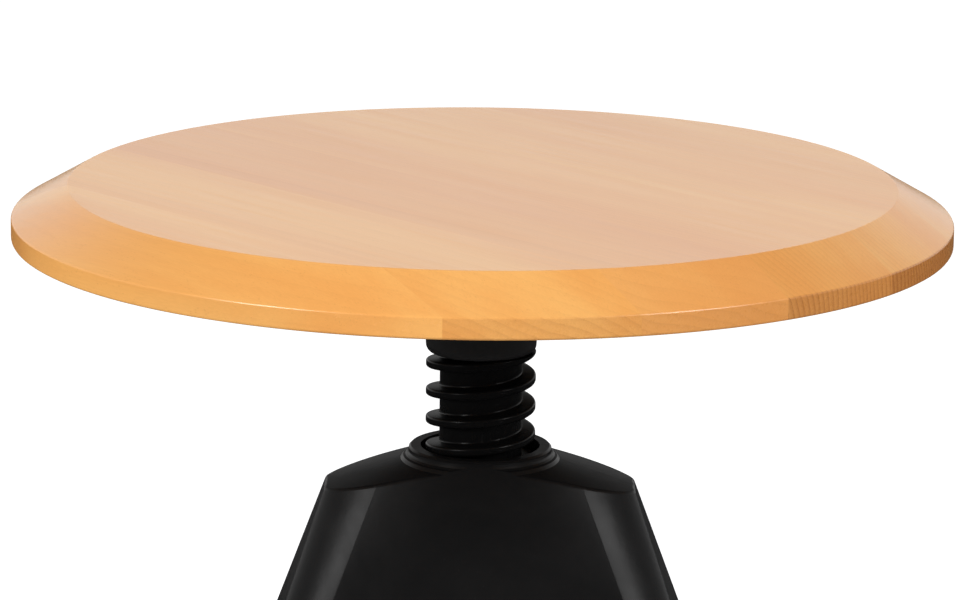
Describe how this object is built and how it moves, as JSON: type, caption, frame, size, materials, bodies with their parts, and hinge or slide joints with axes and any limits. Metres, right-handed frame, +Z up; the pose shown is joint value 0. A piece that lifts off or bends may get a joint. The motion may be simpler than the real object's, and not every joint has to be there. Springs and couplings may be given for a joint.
{
  "type": "screw stool",
  "caption": "Round wooden seat on a moulded screw spindle in a hollow splayed base; turning the seat raises and lowers it.",
  "frame": {"origin": "on the floor, on the spindle's axis, midway between the four feet", "axes": "+Z up along the spindle's axis, +X to the viewer's right along the hub's long side, -Y towards the viewer"},
  "size_m": [0.3804, 0.36, 0.5],
  "materials": {
    "beech": "satin clear lacquer over glued-up beech staves",
    "black_moulding": "satin black moulding",
    "black_coating": "satin black powder coating on cast aluminium",
    "glide_rubber": "matte black",
    "zinc_steel": "zinc-plated steel",
    "black_steel": "blackened steel",
    "brass": "turned brass"
  },
  "bodies": {
    "base": {"hub": "black_moulding", "spindle_nut": "black_moulding", "nut_screws": "zinc_steel", "leg_front_left": "black_coating", "leg_front_right": "black_coating", "leg_back_left": "black_coating", "leg_back_right": "black_coating", "leg_bolts": "black_steel", "leg_washers": "zinc_steel", "leg_nuts": "zinc_steel", "glide_front_left": "glide_rubber", "glide_front_right": "glide_rubber", "glide_back_left": "glide_rubber", "glide_back_right": "glide_rubber", "glide_screws": "zinc_steel"},
    "lift_carriage": {"stop_washer": "zinc_steel"},
    "seat_assembly": {"seat_stave_1": "beech", "seat_stave_2": "beech", "seat_stave_3": "beech", "seat_stave_4": "beech", "seat_stave_5": "beech", "seat_stave_6": "beech", "seat_carrier": "black_moulding", "seat_screws": "zinc_steel", "spindle": "black_moulding", "spindle_insert": "brass", "spindle_washer": "zinc_steel", "spindle_bolt": "zinc_steel", "stop_insert": "brass", "stop_bolt": "zinc_steel"}
  },
  "joints": [
    {"name": "seat_lift", "type": "slide", "parent": "base", "child": "lift_carriage", "axis": [0, 0, 1], "range_m": [-0.051, 0.115]},
    {"name": "seat_turn", "type": "hinge", "parent": "lift_carriage", "child": "seat_assembly", "pos_m": [0, 0, 0.35], "axis": [0, 0, 1], "range_deg": [-1653.9, 3729.6]}
  ],
  "couplings": [
    {"joint": "seat_lift", "follows": "seat_turn", "m_per_rad": 0.0017666}
  ]
}
